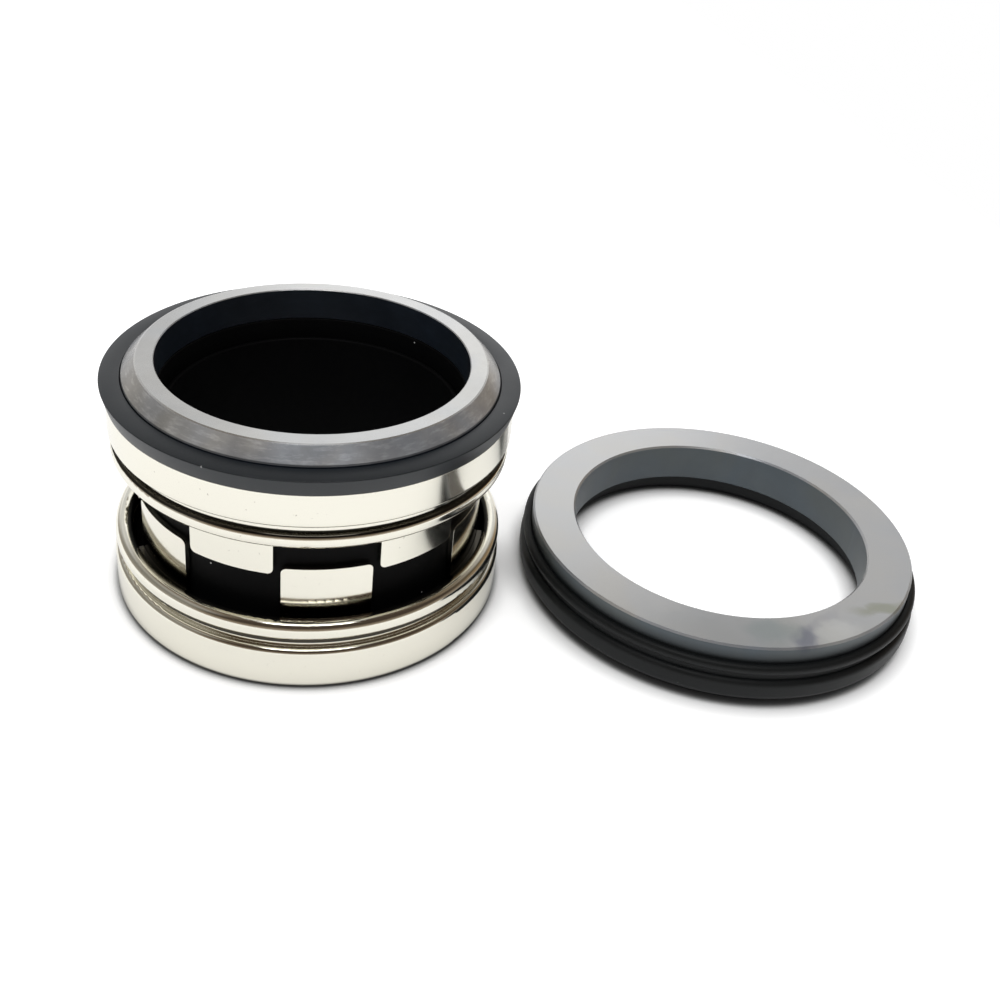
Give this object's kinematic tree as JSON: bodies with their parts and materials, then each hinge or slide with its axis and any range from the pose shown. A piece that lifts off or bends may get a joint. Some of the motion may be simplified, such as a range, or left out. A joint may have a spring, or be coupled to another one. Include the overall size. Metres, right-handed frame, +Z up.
{
  "type": "mechanical seal",
  "caption": "Elastomer-bellows mechanical shaft seal: a spring-loaded rotary head with interlocking drive lugs, beside its lapped stationary seat in a rubber cup.",
  "frame": {"origin": "centre of the shaft bore in the plane of the head's base, on which the seat lies too", "axes": "+Z up along the head's axis, from the drive ring to the lapped face; +X towards the stationary seat that lies beside the head, which is 2.9 degrees off X"},
  "size_m": [0.1134, 0.0581, 0.0329],
  "materials": {
    "seal_face": "sintered, lapped face with a satin sheen",
    "shell": "pressed and polished stainless steel",
    "wire": "drawn stainless spring wire",
    "bellows_rubber": "black moulded rubber, matte",
    "cup_rubber": "black moulded rubber, matte"
  },
  "bodies": {
    "base": {"drive_ring": "shell", "bellows": "bellows_rubber", "spring": "wire", "seat_ring": "seal_face", "seat_cup": "cup_rubber"},
    "front": {"primary_ring": "seal_face", "retainer": "shell"}
  },
  "joints": [
    {"name": "face_travel", "type": "slide", "parent": "base", "child": "front", "axis": [0, 0, -1], "range_m": [0, 0.004], "stiffness_N_per_m": 8000, "deforming": ["bellows", "spring"]}
  ]
}
